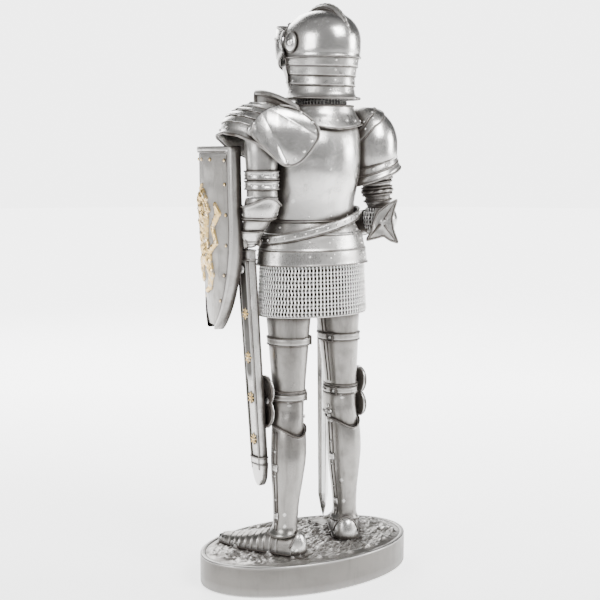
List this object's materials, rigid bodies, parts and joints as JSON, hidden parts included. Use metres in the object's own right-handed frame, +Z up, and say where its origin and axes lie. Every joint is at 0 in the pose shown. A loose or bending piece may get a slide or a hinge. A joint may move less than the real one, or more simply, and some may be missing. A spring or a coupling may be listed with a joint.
{
  "type": "knight statuette",
  "caption": "Armoured knight figure with close helmet, heater shield, sword and scabbard, standing on an oval base.",
  "frame": {"origin": "centre of the underside of the oval base", "axes": "+Z up through the helmet, -Y the way the knight faces, +X its left-hand side"},
  "size_m": [0.0728, 0.0497, 0.178],
  "materials": {
    "pewter": "polished pewter plate with dark recesses",
    "bright_pewter": "buffed bright pewter, faint hammer marks",
    "dull_pewter": "darkened pewter",
    "mail": "rows of small rings, dark between",
    "rough_ground": "rough rocky casting, dark wash",
    "base_side": "satin brushed",
    "dark_core": "as cast, dark",
    "painted_face": "smooth cast face",
    "gilt": "worn gold tint",
    "pin_steel": "plain drawn wire"
  },
  "bodies": {
    "root": {"base_plinth": "base_side", "ground": "rough_ground", "foot_dowels": "pin_steel", "left_sabaton": "pewter", "right_sabaton": "pewter", "heel_caps": "pewter", "left_greave": "bright_pewter", "right_greave": "bright_pewter", "left_poleyn": "pewter", "right_poleyn": "pewter", "left_cuisse": "bright_pewter", "right_cuisse": "bright_pewter", "left_leg_straps": "pewter", "right_leg_straps": "pewter", "hip_core": "dark_core", "mail_skirt": "mail", "fauld_lame_1": "pewter", "fauld_lame_2": "pewter", "fauld_lame_3": "pewter", "sword_belt": "pewter", "torso_core": "dark_core", "backplate": "bright_pewter", "breastplate": "bright_pewter", "gorget": "pewter", "neck_collar": "dark_core", "neck_peg": "pin_steel", "left_pauldron": "bright_pewter", "left_pauldron_wing": "bright_pewter", "haute_piece": "bright_pewter", "left_rerebrace": "pewter", "left_arm_bands": "pewter", "right_pauldron": "bright_pewter", "right_shoulder_lames": "pewter", "right_pauldron_flange": "pewter", "shoulder_pin": "pin_steel", "left_arm_pin": "pin_steel", "scabbard_stud": "pewter"},
    "helmet": {"head_core": "painted_face", "helmet_skull": "bright_pewter", "comb": "bright_pewter", "nape_lames": "pewter", "visor_pivots": "pewter"},
    "visor": {"visor": "pewter"},
    "left_forearm": {"left_couter": "pewter", "left_vambrace": "pewter", "left_gauntlet": "pewter", "shield_board": "dull_pewter", "shield_rim": "pewter", "shield_emblem": "gilt"},
    "right_upper_arm": {"right_rerebrace": "pewter", "right_arm_bands": "pewter", "elbow_pin": "pin_steel"},
    "right_forearm": {"right_couter": "bright_pewter", "right_forearm_plate": "pewter", "right_gauntlet": "pewter"},
    "sword": {"sword_blade": "pewter", "sword_hilt": "pewter"},
    "scabbard": {"scabbard_body": "dull_pewter", "scabbard_fittings": "pewter", "scabbard_medallions": "gilt"}
  },
  "joints": [
    {"name": "neck_swivel", "type": "hinge", "parent": "root", "child": "helmet", "pos_m": [-0.0032, 0.004, 0.1506], "axis": [0, 0, 1], "range_deg": [-25, 25]},
    {"name": "visor_lift", "type": "hinge", "parent": "helmet", "child": "visor", "pos_m": [-0.0032, 0.004, 0.166], "axis": [-0.9962, -0.0872, 0], "range_deg": [0, 48]},
    {"name": "left_arm_swivel", "type": "hinge", "parent": "root", "child": "left_forearm", "pos_m": [0.0208, 0.0074, 0.1198], "axis": [0, 0, 1], "range_deg": [-2, 25]},
    {"name": "right_shoulder", "type": "hinge", "parent": "root", "child": "right_upper_arm", "pos_m": [-0.0213, 0.006, 0.141], "axis": [-1, 0, 0], "range_deg": [0, 15]},
    {"name": "right_elbow", "type": "hinge", "parent": "right_upper_arm", "child": "right_forearm", "pos_m": [-0.024, 0.007, 0.112], "axis": [-0.9087, -0.4175, 0], "range_deg": [0, 15]},
    {"name": "sword_slide", "type": "slide", "parent": "right_forearm", "child": "sword", "axis": [0, 0, 1], "range_m": [0, 0.0055]},
    {"name": "scabbard_swing", "type": "hinge", "parent": "root", "child": "scabbard", "pos_m": [0.0226, 0.0011, 0.098], "axis": [1, 0, 0], "range_deg": [-4, 2]}
  ]
}
